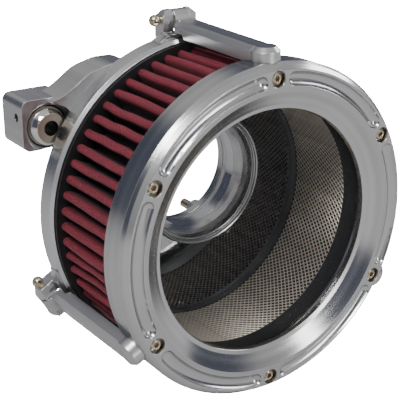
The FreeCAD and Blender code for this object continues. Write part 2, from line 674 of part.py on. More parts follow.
def round_corners(body, feature, tag, corners, radius):
    """Fillet the edges along Y that stand at the given X and Z corners."""
    doc.recompute()
    names = []
    for i, edge in enumerate(feature.Shape.Edges, start=1):
        ends = [vertex.Point for vertex in edge.Vertexes]
        if len(ends) != 2 or abs(ends[0].x - ends[1].x) > 0.01 or abs(ends[0].z - ends[1].z) > 0.01:
            continue
        if any(abs(ends[0].x - x) < 0.05 and abs(ends[0].z - z) < 0.05 for x, z in corners):
            names.append(f"Edge{i}")
    fillet = body.newObject("PartDesign::Fillet", f"{body.Name}_{tag}")
    fillet.Base = (feature, names)
    fillet.Radius = radius
    return fillet


def mount_arm(side):
    """Curved neck behind the plate with a block at its end that holds the swivel ball."""
    sign = 1 if side == "left" else -1
    block = doc.addObject("PartDesign::Body", f"block_{side}")
    near, far = ("block_left", "block_right") if sign > 0 else ("-block_left", "-block_right")
    pad = prism(block, "pad", [(near, "block_low"), (far, "block_low"), (far, "block_high"),
                               (near, "block_high")], "block_back", "block_front")
    corners = [(dim(x), dim(z)) for x in (near, far) for z in ("block_low", "block_high")]
    round_corners(block, pad, "round", corners, dim("block_round"))
    neck = doc.addObject("PartDesign::Body", f"neck_{side}")
    feature = prism(neck, "pad", NECKS[side], "neck_back", "plate_back")
    for radius, places in NECK_ROUNDS.items():
        corners = [NECKS[side][i] for i in places]
        feature = round_corners(neck, feature, f"round_{places[0]}", corners, radius)
    whole = joined(f"mount_whole_{side}", [block, neck])
    across = "dims.ball_across" if side == "left" else "-dims.ball_across"
    socket_run = "dims.block_front - dims.block_back + 2"
    tools = [
        rod(f"socket_{side}", "dims.socket_radius", socket_run, FORWARD, across,
            "-dims.block_back + 1", "dims.ball_height"),
        cone(f"mouth_{side}", "dims.socket_radius", "dims.socket_mouth", "dims.socket_mouth_depth",
             FORWARD, across, "-(dims.block_front - dims.socket_mouth_depth)", "dims.ball_height"),
        rod(f"neck_relief_{side}", "dims.socket_mouth + 0.4", "30", FORWARD, across,
            "-dims.block_front", "dims.ball_height"),
        rod(f"set_hole_{side}", "dims.set_radius", "12", (sign, 0, 0),
            "dims.block_left" if side == "left" else "-dims.block_left",
            "-dims.set_depth", "dims.set_height")]
    tools += arm_screw_rods(f"arm_{side}", side, "neck_back", "plate_back", "arm_screw_radius")
    finish(cut(f"mount_{side}", whole, tools), f"{side}_mount_arm", lower=MOUNT_DROPS[side])


def arm_screws(side):
    screws = []
    sign = "" if side == "left" else "-"
    shanks = arm_screw_rods(f"shank_{side}", side, "neck_back", "arm_screw_end", "arm_screw_radius")
    for which, shank in zip(("near", "far"), shanks):
        x = f"{sign}dims.{which}_screw_across"
        z = f"dims.{which}_screw_height"
        y = "-dims.neck_back + dims.arm_screw_head_height"
        head = rod(f"arm_head_{side}_{which}", "dims.arm_screw_head", "dims.arm_screw_head_height",
                   FORWARD, x, y, z)
        socket = rod(f"arm_socket_{side}_{which}", "dims.arm_screw_head * 0.5",
                     "dims.arm_screw_head_height * 0.6", FORWARD, x, y, z)
        whole = joined(f"arm_screw_whole_{side}_{which}", [shank, head])
        screws.append(cut(f"arm_screw_{side}_{which}", whole, [socket]))
    finish(grouped(f"arm_screw_group_{side}", screws), f"{side}_arm_screws", lower=MOUNT_DROPS[side])


def swivel_ball(side):
    """Chrome ball with two flats and a bore for the head bolt."""
    across = "dims.ball_across" if side == "left" else "-dims.ball_across"
    sphere = ball(f"sphere_{side}", "dims.ball_radius", across, "-dims.ball_depth", "dims.ball_height")
    slab = box(f"slab_{side}", f"{across} - dims.ball_radius", "-dims.ball_depth - dims.ball_half_width",
               "dims.ball_height - dims.ball_radius", "2 * dims.ball_radius",
               "2 * dims.ball_half_width", "2 * dims.ball_radius")
    trimmed = doc.addObject("Part::Common", f"trimmed_{side}")
    trimmed.Base = sphere
    trimmed.Tool = slab
    hole = rod(f"ball_hole_{side}", "dims.ball_hole", "2 * dims.ball_radius", FORWARD, across,
               "-dims.ball_depth + dims.ball_radius", "dims.ball_height")
    finish(cut(f"ball_{side}", trimmed, [hole]), f"{side}_swivel_ball", lower=MOUNT_DROPS[side])


def set_screw(side):
    sign = 1 if side == "left" else -1
    start = "dims.set_outer" if side == "left" else "-dims.set_outer"
    screw = rod(f"set_{side}", "dims.set_radius", "dims.set_inner - dims.set_outer", (sign, 0, 0),
                start, "-dims.set_depth", "dims.set_height")
    socket = rod(f"set_socket_{side}", "dims.set_hex", "dims.set_hex_depth", (sign, 0, 0),
                 start, "-dims.set_depth", "dims.set_height")
    finish(cut(f"set_cut_{side}", screw, [socket]), f"{side}_set_screw", lower=MOUNT_DROPS[side])


def build():
    cover_ring()
    ring_screws()
    lens()
    lens_gasket()
    lens_retainer()
    filter_caps()
    filter_media()
    filter_screen()
    backplate()
    velocity_stack()
    throttle_adapter()
    adapter_seal()
    throttle_screws()
    adapter_screws()
    for name, (angle, side) in LATCHES.items():
        latch_arm(name, angle, side)
        hinge_pin(name, angle, side)
    for side in ("left", "right"):
        mount_arm(side)
        arm_screws(side)
        swivel_ball(side)
        set_screw(side)


def check_and_export():
    doc.recompute()
    for item in doc.Objects:
        if "Invalid" in item.State or "Error" in item.State:
            raise RuntimeError(f"{item.Name} failed: {item.State}")
    os.makedirs("parts", exist_ok=True)
    for item in subparts:
        shape = item.Shape
        if shape.isNull() or not shape.isValid():
            raise RuntimeError(f"{item.Label} has no valid shape")
        print(item.Label, len(shape.Solids), "solid(s)", round(shape.Volume, 1), "mm3")
        shape.exportStep(f"parts/{item.Label}.step")


build()
check_and_export()
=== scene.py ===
import bpy
import math
import numpy as np
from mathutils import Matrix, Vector


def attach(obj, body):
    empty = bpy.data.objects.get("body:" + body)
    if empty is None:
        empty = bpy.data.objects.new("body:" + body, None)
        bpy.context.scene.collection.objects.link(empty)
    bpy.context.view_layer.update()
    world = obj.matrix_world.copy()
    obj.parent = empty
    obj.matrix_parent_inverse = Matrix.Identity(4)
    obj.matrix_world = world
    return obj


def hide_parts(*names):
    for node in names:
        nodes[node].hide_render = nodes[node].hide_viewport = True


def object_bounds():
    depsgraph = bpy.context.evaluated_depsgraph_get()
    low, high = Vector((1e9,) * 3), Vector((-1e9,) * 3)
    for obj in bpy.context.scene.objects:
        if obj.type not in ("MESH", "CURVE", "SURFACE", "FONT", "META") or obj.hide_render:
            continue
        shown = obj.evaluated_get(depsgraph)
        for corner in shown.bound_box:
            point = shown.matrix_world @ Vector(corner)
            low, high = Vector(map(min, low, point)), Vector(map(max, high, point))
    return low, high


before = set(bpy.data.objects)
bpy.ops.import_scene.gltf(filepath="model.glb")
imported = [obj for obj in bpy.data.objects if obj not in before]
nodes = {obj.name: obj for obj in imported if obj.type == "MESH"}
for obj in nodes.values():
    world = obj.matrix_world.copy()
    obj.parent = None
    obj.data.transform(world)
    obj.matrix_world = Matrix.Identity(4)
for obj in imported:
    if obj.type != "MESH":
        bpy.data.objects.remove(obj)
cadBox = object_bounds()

mm = 0.001
axisDrop = 12.5 * mm  # the filter axis runs this far below the intake bore
rng = np.random.default_rng(7)


def meshFrom(name, points, quads, smooth=True):
    # points is an (n, 3) array, quads an (m, 4) array of corner numbers
    mesh = bpy.data.meshes.new(name)
    mesh.from_pydata(points.tolist(), [], quads.tolist())
    mesh.polygons.foreach_set("use_smooth", np.full(len(quads), smooth))
    mesh.update()
    piece = bpy.data.objects.new(name, mesh)
    bpy.context.scene.collection.objects.link(piece)
    return piece


def gridQuads(rows, columns, closed):
    # row after row; closed joins the last column to the first
    last = columns if closed else columns - 1
    r = np.arange(rows - 1)[:, None]
    c = np.arange(last)[None, :]
    nextC = (c + 1) % columns
    a = r * columns + c
    b = r * columns + nextC
    quads = np.stack([a, b, b + columns, a + columns], axis=-1)
    return quads.reshape(-1, 4)


def setUv(piece, name, u, v):
    # one u and one v for each corner of each face
    layer = piece.data.uv_layers.new(name=name)
    layer.data.foreach_set("uv", np.stack([u, v], axis=-1).ravel())


pleats = {
    "count": 60,
    "tipRadius": 90.0 * mm,
    "rootRadius": 77.6 * mm,
    "ridgeHalf": 2.45 * mm,
    "thickness": 0.8 * mm,
    "rear": 23.5 * mm,
    "front": 80.5 * mm,
    "rows": 72,
    "sway": 0.55 * mm,  # how far a pleat leans from straight
    "waves": ((1, 1.0), (2, 0.5), (5, 0.3)),  # half waves along a pleat, and their share of the sway
    "heightSpread": 0.006,  # pleats differ in height by this share
    "waist": 0.18,  # walls draw together by this share at mid-height
    "roundSteps": 9,
    "wallSteps": 5,
    "clothScale": 100,  # cloth map units in a metre
}


def pleatPath():
    # one pleat across its pitch: up a wall, over a half-round tip, down the other wall
    # tip: radius = tipRadius - half + half * cos(turn), across = half * sin(turn)
    half = pleats["ridgeHalf"]
    turn = np.linspace(-90, 90, pleats["roundSteps"]) * math.pi / 180
    tipAcross = half * np.sin(turn)
    tipRadius = pleats["tipRadius"] - half + half * np.cos(turn)
    climb = np.arange(pleats["wallSteps"]) / pleats["wallSteps"]
    wallRadius = pleats["rootRadius"] + climb * (pleats["tipRadius"] - half - pleats["rootRadius"])
    wallAcross = half * (1 - pleats["waist"] * np.sin(math.pi * climb))
    across = np.concatenate([-wallAcross, tipAcross, wallAcross[::-1]])
    radius = np.concatenate([wallRadius, tipRadius, wallRadius[::-1]])
    return across, radius


def makePleats():
    # surface over (depth, pleat, step of the pleat's path), in polar form about the filter axis:
    # radius = path radius * pleat height, angle = pleat middle + (across + wave(depth)) / radius
    # wave = sway * (a sin(pi t) + b sin(2 pi t) + c sin(5 pi t)), t = 0 at the rear and 1 at the front
    across, radius = pleatPath()
    count = pleats["count"]
    steps = len(across)
    rows = pleats["rows"]
    depth = np.linspace(pleats["rear"], pleats["front"], rows)
    along = (depth - depth[0]) / (depth[-1] - depth[0])
    lean = rng.normal(0, 1, (count, len(pleats["waves"]))) * pleats["sway"]
    wave = np.zeros((count, rows))
    for column, (halfWaves, share) in enumerate(pleats["waves"]):
        wave += share * lean[:, column, None] * np.sin(halfWaves * math.pi * along)
    rise = pleats["heightSpread"] * rng.normal(0, 1, (count, 1)) * np.sin(math.pi * along)
    middle = 2 * math.pi * np.arange(count) / count
    high = (radius - radius.min()) / (radius.max() - radius.min())  # 0 at the root, 1 at the tip
    shift = across[None, None, :] + wave.T[:, :, None] * high[None, None, :]
    reach = radius[None, None, :] + rise.T[:, :, None] * pleats["tipRadius"] * high[None, None, :]
    reach = np.minimum(reach, pleats["tipRadius"])
    angle = middle[None, :, None] + shift / reach
    x = reach * np.cos(angle)
    z = reach * np.sin(angle) - axisDrop
    y = np.broadcast_to(-depth[:, None, None], x.shape)
    points = np.stack([x, y, z], axis=-1).reshape(-1, 3)
    columns = count * steps
    quads = gridQuads(rows, columns, True)
    piece = meshFrom("pleated_gauze", points, quads)
    length = np.concatenate([[0], np.cumsum(np.hypot(np.diff(across), np.diff(radius)))])
    valley = 2 * math.pi * pleats["rootRadius"] / count - 2 * pleats["ridgeHalf"]
    pitch = length[-1] + valley  # cloth used by one pleat
    lineU = (np.arange(count)[:, None] * pitch + length[None, :]).ravel()
    cornerColumn = quads % columns
    u = lineU[cornerColumn]
    closing = (cornerColumn == 0) & (cornerColumn[:, :1] == columns - 1)
    u = np.where(closing, count * pitch, u)  # the last face ends where the first begins
    v = depth[quads // columns]
    setUv(piece, "cloth", (u * pleats["clothScale"]).ravel(), (v * pleats["clothScale"]).ravel())
    solid = piece.modifiers.new("thickness", "SOLIDIFY")
    solid.thickness = pleats["thickness"]
    solid.offset = -1
    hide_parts("filter_media")
    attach(piece, "root")
    print("pleats made:", count)


screen = {
    "radius": 75.0 * mm,
    "cells": 146,  # diamonds round the tube
    "halfRows": 24,  # two half rows make one diamond
    "rear": 28.5 * mm,
    "front": 73.1 * mm,
    "strandWide": 0.37 * mm,
    "strandThick": 0.34 * mm,
    "lift": 0.16 * mm,  # twist of each strand across its width
}


def makeScreen():
    # flat strands on a cylinder, each from one crossing to the next: crossings of odd rows
    # are shifted by half a cell, angle = (cell + 0.5 * (row odd)) / cells * 2 pi
    cells = screen["cells"]
    rows = screen["halfRows"]
    row, cell, side = np.meshgrid(np.arange(rows), np.arange(cells), [-1, 1], indexing="ij")
    row, cell, side = row.ravel(), cell.ravel(), side.ravel()
    startTurn = (cell + 0.5 * (row % 2)) / cells * 2 * math.pi
    endTurn = startTurn + side * 0.5 / cells * 2 * math.pi
    step = (screen["front"] - screen["rear"]) / rows
    startDepth = screen["rear"] + row * step
    endDepth = startDepth + step
    turn = np.stack([startTurn, endTurn], axis=1)
    depth = np.stack([startDepth, endDepth], axis=1)
    runRound = (turn[:, 1] - turn[:, 0]) * screen["radius"]
    run = np.stack([runRound, depth[:, 1] - depth[:, 0]], axis=1)
    run = run / np.linalg.norm(run, axis=1, keepdims=True)
    sideways = np.stack([-run[:, 1], run[:, 0]], axis=1) * screen["strandWide"] / 2
    corners = []
    for end in (0, 1):
        for across, high in ((-1, -1), (1, -1), (1, 1), (-1, 1)):
            a = turn[:, end] + across * sideways[:, 0] / screen["radius"]
            d = depth[:, end] + across * sideways[:, 1]
            d = np.clip(d, screen["rear"], screen["front"])
            r = screen["radius"] + high * screen["strandThick"] / 2 + across * side * screen["lift"]
            corners.append(np.stack([r * np.cos(a), -d, r * np.sin(a) - axisDrop], axis=-1))
    points = np.stack(corners, axis=1)
    base = (np.arange(len(turn)) * 8)[:, None, None]
    bar = np.array([[0, 1, 5, 4], [1, 2, 6, 5], [2, 3, 7, 6], [3, 0, 4, 7], [3, 2, 1, 0], [4, 5, 6, 7]])
    mirrored = bar[:, ::-1]
    quads = np.where(side[:, None, None] > 0, bar, mirrored) + base
    piece = meshFrom("diamond_screen", points.reshape(-1, 3), quads.reshape(-1, 4), smooth=False)
    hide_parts("filter_inner_screen")
    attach(piece, "root")
    print("screen strands:", len(turn))


lines = {
    "turnedFine": 2600.0,  # lines in a metre across a lathe cut
    "turnedBand": 0.11,  # broad bands, as a share of the fine scale
    "milledFine": 1500.0,
    "milledBand": 0.15,
    "milledAlong": 0.05,  # the lines are stretched along Y by one over this
    "edgeRadius": 0.5 * mm,
    "edgeGain": 9.0,
    "edgeNoise": 260.0,
    "threads": 7.0,  # threads in one unit of the cloth map
    "threadWobble": 0.7,
    "wobbleScale": 9.0,
}


def newGroup(name, inputs, outputs):
    # inputs are (label, socket type, default or None), outputs (label, socket type)
    group = bpy.data.node_groups.new(name, "ShaderNodeTree")
    for label, kind, value in inputs:
        socket = group.interface.new_socket(label, in_out="INPUT", socket_type=kind)
        if value is not None:
            socket.default_value = value
    for label, kind in outputs:
        group.interface.new_socket(label, in_out="OUTPUT", socket_type=kind)
    return group, group.nodes.new("NodeGroupInput"), group.nodes.new("NodeGroupOutput")


def link(tree, source, target):
    tree.links.new(source, target)


def mathNode(tree, kind, a, b=None, clamp=False):
    node = tree.nodes.new("ShaderNodeMath")
    node.operation = kind
    node.use_clamp = clamp
    for i, value in enumerate((a, b)):
        if value is None:
            continue
        if isinstance(value, (int, float)):
            node.inputs[i].default_value = value
        else:
            link(tree, value, node.inputs[i])
    return node.outputs[0]


def noiseNode(tree, vector, scale, detail=3.0, rough=0.5):
    node = tree.nodes.new("ShaderNodeTexNoise")
    node.inputs["Scale"].default_value = scale
    node.inputs["Detail"].default_value = detail
    node.inputs["Roughness"].default_value = rough
    link(tree, vector, node.inputs["Vector"])
    return node.outputs["Fac"]


def makeTurnedGroup():
    # lathe lines: noise over (distance from the axis, depth), the same all the way round
    group, inside, outside = newGroup("turnedLines", [
        ("Vector", "NodeSocketVector", None), ("Drop", "NodeSocketFloat", axisDrop),
        ("Fine", "NodeSocketFloat", lines["turnedFine"])],
        [("Height", "NodeSocketFloat"), ("Band", "NodeSocketFloat")])
    split = group.nodes.new("ShaderNodeSeparateXYZ")
    link(group, inside.outputs["Vector"], split.inputs[0])
    high = mathNode(group, "ADD", split.outputs["Z"], inside.outputs["Drop"])
    highSquare = mathNode(group, "MULTIPLY", high, high)
    acrossSquare = mathNode(group, "MULTIPLY", split.outputs["X"], split.outputs["X"])
    radius = mathNode(group, "SQRT", mathNode(group, "ADD", highSquare, acrossSquare))
    fine = group.nodes.new("ShaderNodeCombineXYZ")
    link(group, mathNode(group, "MULTIPLY", radius, inside.outputs["Fine"]), fine.inputs["X"])
    link(group, mathNode(group, "MULTIPLY", split.outputs["Y"], inside.outputs["Fine"]), fine.inputs["Y"])
    link(group, noiseNode(group, fine.outputs[0], 1.0, 2.0), outside.inputs["Height"])
    link(group, noiseNode(group, fine.outputs[0], lines["turnedBand"], 3.0), outside.inputs["Band"])
    return group


def makeMilledGroup():
    # straight brushed lines along the depth of the part
    group, inside, outside = newGroup("milledLines", [
        ("Vector", "NodeSocketVector", None), ("Fine", "NodeSocketFloat", lines["milledFine"])],
        [("Height", "NodeSocketFloat"), ("Band", "NodeSocketFloat")])
    split = group.nodes.new("ShaderNodeSeparateXYZ")
    link(group, inside.outputs["Vector"], split.inputs[0])
    fine = group.nodes.new("ShaderNodeCombineXYZ")
    for label, stretch in (("X", 1.0), ("Y", lines["milledAlong"]), ("Z", 1.0)):
        scaled = mathNode(group, "MULTIPLY", split.outputs[label], inside.outputs["Fine"])
        link(group, mathNode(group, "MULTIPLY", scaled, stretch), fine.inputs[label])
    link(group, noiseNode(group, fine.outputs[0], 1.0, 2.0), outside.inputs["Height"])
    link(group, noiseNode(group, fine.outputs[0], lines["milledBand"], 3.0), outside.inputs["Band"])
    return group


def makeEdgeGroup():
    # mask for worn edges and painted edge highlights: one where the rounded normal turns away from the
    # true one
    group, inside, outside = newGroup("edgeWear", [("Vector", "NodeSocketVector", None)],
                                      [("Edge", "NodeSocketFloat"), ("Normal", "NodeSocketVector")])
    bevel = group.nodes.new("ShaderNodeBevel")
    bevel.samples = 4
    bevel.inputs["Radius"].default_value = lines["edgeRadius"]
    face = group.nodes.new("ShaderNodeNewGeometry")
    dot = group.nodes.new("ShaderNodeVectorMath")
    dot.operation = "DOT_PRODUCT"
    link(group, bevel.outputs[0], dot.inputs[0])
    link(group, face.outputs["Normal"], dot.inputs[1])
    turnedAway = mathNode(group, "SUBTRACT", 1.0, dot.outputs["Value"])
    off = mathNode(group, "MULTIPLY", turnedAway, lines["edgeGain"], True)
    patchy = noiseNode(group, inside.outputs["Vector"], lines["edgeNoise"])
    wornAndLit = mathNode(group, "MULTIPLY", off, patchy, True)
    link(group, wornAndLit, outside.inputs["Edge"])
    link(group, bevel.outputs[0], outside.inputs["Normal"])
    return group


def makeWeaveGroup():
    # plain weave on the cloth map: a warp wave times a weft wave
    group, inside, outside = newGroup("gauzeWeave", [
        ("Vector", "NodeSocketVector", None), ("Threads", "NodeSocketFloat", lines["threads"])],
        [("Height", "NodeSocketFloat")])
    split = group.nodes.new("ShaderNodeSeparateXYZ")
    link(group, inside.outputs["Vector"], split.inputs[0])
    wobble = noiseNode(group, inside.outputs["Vector"], lines["wobbleScale"], 2.0)
    bent = mathNode(group, "MULTIPLY", wobble, lines["threadWobble"])
    waves = []
    for label in ("X", "Y"):
        turns = mathNode(group, "MULTIPLY", split.outputs[label], inside.outputs["Threads"])
        phase = mathNode(group, "MULTIPLY", mathNode(group, "ADD", turns, bent), 2 * math.pi)
        waves.append(mathNode(group, "SINE", phase))
    both = mathNode(group, "MULTIPLY", waves[0], waves[1])
    height = mathNode(group, "ADD", mathNode(group, "MULTIPLY", both, 0.5), 0.5)
    link(group, height, outside.inputs["Height"])
    return group


groups = {
    "turned": makeTurnedGroup(),
    "milled": makeMilledGroup(),
    "edge": makeEdgeGroup(),
    "weave": makeWeaveGroup(),
}
print("shader groups made:", len(groups))


def newMaterial(name):
    material = bpy.data.materials.new(name)
    material.use_nodes = True
    tree = material.node_tree
    return material, tree, tree.nodes["Principled BSDF"]


def useGroup(tree, kind, vector):
    node = tree.nodes.new("ShaderNodeGroup")
    node.node_tree = groups[kind]
    link(tree, vector, node.inputs["Vector"])
    return node


def objectVector(tree):
    return tree.nodes.new("ShaderNodeTexCoord").outputs["Object"]


def rampColor(tree, fac, dark, light, low=0.3, high=0.7):
    ramp = tree.nodes.new("ShaderNodeValToRGB")
    ramp.color_ramp.elements[0].position = low
    ramp.color_ramp.elements[1].position = high
    ramp.color_ramp.elements[0].color = (*dark, 1)
    ramp.color_ramp.elements[1].color = (*light, 1)
    link(tree, fac, ramp.inputs[0])
    return ramp.outputs[0]


def spread(tree, fac, low, high, start=0.0, end=1.0):
    node = tree.nodes.new("ShaderNodeMapRange")
    node.inputs["From Min"].default_value = start
    node.inputs["From Max"].default_value = end
    node.inputs["To Min"].default_value = low
    node.inputs["To Max"].default_value = high
    link(tree, fac, node.inputs["Value"])
    return node.outputs[0]


def axisDistance(tree, vector, x, z):
    # distance of a point from the line along Y through x and z
    split = tree.nodes.new("ShaderNodeSeparateXYZ")
    link(tree, vector, split.inputs[0])
    across = mathNode(tree, "SUBTRACT", split.outputs["X"], x)
    high = mathNode(tree, "SUBTRACT", split.outputs["Z"], z)
    acrossSquare = mathNode(tree, "MULTIPLY", across, across)
    highSquare = mathNode(tree, "MULTIPLY", high, high)
    distance = mathNode(tree, "SQRT", mathNode(tree, "ADD", acrossSquare, highSquare))
    return distance, split.outputs["Y"]


def mixColor(tree, fac, a, b):
    node = tree.nodes.new("ShaderNodeMix")
    node.data_type = "RGBA"
    link(tree, fac, node.inputs["Factor"])
    link(tree, a, node.inputs["A"])
    node.inputs["B"].default_value = (*b, 1)
    return node.outputs["Result"]


def bump(tree, height, strength, distance, normal=None):
    node = tree.nodes.new("ShaderNodeBump")
    node.inputs["Strength"].default_value = strength
    node.inputs["Distance"].default_value = distance
    link(tree, height, node.inputs["Height"])
    if normal is not None:
        link(tree, normal, node.inputs["Normal"])
    return node.outputs[0]


# each edge colour lightens rims and corners: partly wear, partly a painted highlight
metals = {
    "turnedAluminium": {"lines": "turned", "dark": (0.46, 0.455, 0.45), "light": (0.58, 0.575, 0.57),
                        "rough": (0.13, 0.24), "bump": 0.08, "edge": (0.78, 0.78, 0.78)},
    "polishedAluminium": {"lines": "turned", "dark": (0.56, 0.56, 0.56), "light": (0.66, 0.66, 0.66),
                          "rough": (0.03, 0.08), "bump": 0.03, "edge": (0.85, 0.85, 0.85)},
    "milledAluminium": {"lines": "milled", "dark": (0.48, 0.475, 0.47), "light": (0.59, 0.585, 0.58),
                        "rough": (0.24, 0.38), "bump": 0.12, "edge": (0.80, 0.80, 0.80)},
    "nickelSteel": {"lines": "milled", "dark": (0.45, 0.38, 0.27), "light": (0.62, 0.54, 0.41),
                    "rough": (0.16, 0.30), "bump": 0.08, "edge": (0.80, 0.74, 0.62)},
    "mirrorChrome": {"lines": "turned", "dark": (0.70, 0.68, 0.63), "light": (0.78, 0.76, 0.71),
                     "rough": (0.03, 0.08), "bump": 0.01, "edge": (0.85, 0.83, 0.80)},
    "blackSteel": {"lines": "milled", "dark": (0.03, 0.03, 0.03), "light": (0.07, 0.065, 0.06),
                   "rough": (0.35, 0.5), "bump": 0.1, "edge": (0.25, 0.24, 0.22)},
    "screenSteel": {"lines": "milled", "dark": (0.66, 0.58, 0.47), "light": (0.88, 0.82, 0.72),
                    "rough": (0.25, 0.40), "bump": 0.1, "edge": (0.75, 0.70, 0.6)},
}


metalCloud = {"scale": 38.0, "share": 0.3, "bumpDepth": 0.05 * mm}  # broad unevenness of every metal


def makeMetal(name, edges=True, metal=1.0):
    # metal below one is for a tarnished surface
    look = metals[name]
    material, tree, shader = newMaterial(name)
    vector = objectVector(tree)
    cut = useGroup(tree, look["lines"], vector)
    cloud = noiseNode(tree, vector, metalCloud["scale"], 4.0)
    band = mathNode(tree, "MULTIPLY", cut.outputs["Band"], 1 - metalCloud["share"])
    tone = mathNode(tree, "ADD", band, mathNode(tree, "MULTIPLY", cloud, metalCloud["share"]))
    color = rampColor(tree, tone, look["dark"], look["light"])
    rough = spread(tree, tone, look["rough"][0], look["rough"][1])
    normal = None
    if edges:
        edge = useGroup(tree, "edge", vector)
        # painted highlight and wear: edges are lightened towards the edge colour
        color = mixColor(tree, edge.outputs["Edge"], color, look["edge"])
        normal = edge.outputs["Normal"]
    link(tree, color, shader.inputs["Base Color"])
    link(tree, rough, shader.inputs["Roughness"])
    cutNormal = bump(tree, cut.outputs["Height"], look["bump"], metalCloud["bumpDepth"], normal)
    link(tree, cutNormal, shader.inputs["Normal"])
    shader.inputs["Metallic"].default_value = metal
    return material


gauze = {
    "gap": (0.008, 0.001, 0.002),  # between threads
    "thread": (0.72, 0.050, 0.105),
    "threadRange": (0.48, 0.80),  # weave heights where the colour turns from gap to thread
    "oil": (0.05, 0.003, 0.007),
    "oilShare": 0.5,
    # painted shade: the valleys between pleats are darkened towards the roots
    "valleyShade": (0.006, 0.001, 0.002),
    "valleyShadeRange": (82 * mm, 89 * mm),  # radii over which painted shade darkens the valleys
    "rough": (0.8, 0.55),
    "bump": 0.9,
    "bumpDepth": 0.35 * mm,
    "sheen": 0.05,
}


def makeGauze():
    material, tree, shader = newMaterial("crimsonGauze")
    uv = tree.nodes.new("ShaderNodeUVMap")
    uv.uv_map = "cloth"
    weave = useGroup(tree, "weave", uv.outputs[0])
    vector = objectVector(tree)
    blotch = noiseNode(tree, vector, 90.0, 4.0)
    height = weave.outputs["Height"]
    thread = rampColor(tree, height, gauze["gap"], gauze["thread"], *gauze["threadRange"])
    oiled = mathNode(tree, "MULTIPLY", blotch, gauze["oilShare"])
    stained = mixColor(tree, oiled, thread, gauze["oil"])
    # painted shade: below the pleat tips the colour turns to the valley shade colour
    reach = axisDistance(tree, vector, 0.0, -axisDrop)[0]
    valleyShadeMask = spread(tree, reach, 1.0, 0.0, *gauze["valleyShadeRange"])
    link(tree, mixColor(tree, valleyShadeMask, stained, gauze["valleyShade"]), shader.inputs["Base Color"])
    link(tree, spread(tree, height, *gauze["rough"]), shader.inputs["Roughness"])
    link(tree, bump(tree, height, gauze["bump"], gauze["bumpDepth"]), shader.inputs["Normal"])
    shader.inputs["Sheen Weight"].default_value = gauze["sheen"]
    shader.inputs["Sheen Roughness"].default_value = 0.4
    return material


blacks = {
    "capBlack": {"dark": (0.008, 0.008, 0.009), "light": (0.016, 0.017, 0.018),
                 "rough": (0.32, 0.48), "grain": 900.0},
    "sealBlack": {"dark": (0.012, 0.012, 0.012), "light": (0.03, 0.03, 0.03),
                  "rough": (0.5, 0.7), "grain": 1500.0},
}


def makeBlack(name):
    look = blacks[name]
    material, tree, shader = newMaterial(name)
    vector = objectVector(tree)
    fine = noiseNode(tree, vector, look["grain"], 4.0)
    cloud = noiseNode(tree, vector, 30.0, 3.0)
    link(tree, rampColor(tree, cloud, look["dark"], look["light"]), shader.inputs["Base Color"])
    link(tree, spread(tree, fine, *look["rough"]), shader.inputs["Roughness"])
    link(tree, bump(tree, fine, 0.25, 0.1 * mm), shader.inputs["Normal"])
    return material


clear = {
    "dark": (0.01, 0.012, 0.013),
    "light": (0.02, 0.022, 0.022),
    "rough": (0.02, 0.07),
    "alpha": 0.10,
    "ior": 1.58,
}


def makeLensMaterial():
    material, tree, shader = newMaterial("clearLens")
    vector = objectVector(tree)
    haze = noiseNode(tree, vector, 24.0, 5.0)
    link(tree, rampColor(tree, haze, clear["dark"], clear["light"]), shader.inputs["Base Color"])
    link(tree, spread(tree, haze, *clear["rough"]), shader.inputs["Roughness"])
    shader.inputs["Alpha"].default_value = clear["alpha"]
    shader.inputs["IOR"].default_value = clear["ior"]
    return material


plate = {"mirrorRadius": 76 * mm, "satin": 0.20}  # satin is added to the roughness outside the radius


def makePlate():
    # mirror-polished face inside the element, satin rim outside it
    material = makeMetal("polishedAluminium")
    tree = material.node_tree
    shader = tree.nodes["Principled BSDF"]
    reach = axisDistance(tree, objectVector(tree), 0.0, -axisDrop)[0]
    outer = mathNode(tree, "GREATER_THAN", reach, plate["mirrorRadius"])
    satin = mathNode(tree, "MULTIPLY", outer, plate["satin"])
    shine = shader.inputs["Roughness"].links[0].from_socket
    link(tree, mathNode(tree, "ADD", shine, satin), shader.inputs["Roughness"])
    return material


balls = {
    "left": {"side": -1, "height": 40 * mm},
    "right": {"side": 1, "height": 31 * mm},
    "across": 85 * mm,  # from the middle of the part to each ball
    "centreY": 1.3 * mm,
    "flat": 8.5 * mm,  # from the centre to just inside each end face
    "bore": 4.35 * mm,
    "flatColor": (0.52, 0.45, 0.36),
    "flatRough": 0.32,
    "boreShadeColor": (0.01, 0.01, 0.01),
    "boreRough": 0.4,
}


def makeBall(which):
    # chrome with satin tan flats and painted shade in the bore; the bore's axis is at the given place
    material = makeMetal("mirrorChrome")
    material.name = which + "Ball"
    tree = material.node_tree
    shader = tree.nodes["Principled BSDF"]
    vector = objectVector(tree)
    reach, y = axisDistance(tree, vector, balls[which]["side"] * balls["across"], balls[which]["height"])
    off = mathNode(tree, "ABSOLUTE", mathNode(tree, "SUBTRACT", y, balls["centreY"]))
    flat = mathNode(tree, "GREATER_THAN", off, balls["flat"])
    bore = mathNode(tree, "LESS_THAN", reach, balls["bore"])
    chrome = shader.inputs["Base Color"].links[0].from_socket
    tinted = mixColor(tree, flat, chrome, balls["flatColor"])
    # painted shade: inside the bore radius the colour is near black
    link(tree, mixColor(tree, bore, tinted, balls["boreShadeColor"]), shader.inputs["Base Color"])
    shine = shader.inputs["Roughness"].links[0].from_socket
    satin = mathNode(tree, "ADD", shine, mathNode(tree, "MULTIPLY", flat, balls["flatRough"]))
    dull = mathNode(tree, "MULTIPLY", bore, balls["boreRough"])
    link(tree, mathNode(tree, "ADD", satin, dull), shader.inputs["Roughness"])
    return material


def paint(name, material):
    piece = nodes[name] if name in nodes else bpy.data.objects[name]  # a CAD node or a new piece
    piece.data.materials.clear()
    piece.data.materials.append(material)


view = {
    "spot": (-0.3332, -0.5130, 0.2162),
    "aim": (-0.0494, -0.1005, 0.0197),
    "lens": 94.95,
    "sensor": 36.0,
}


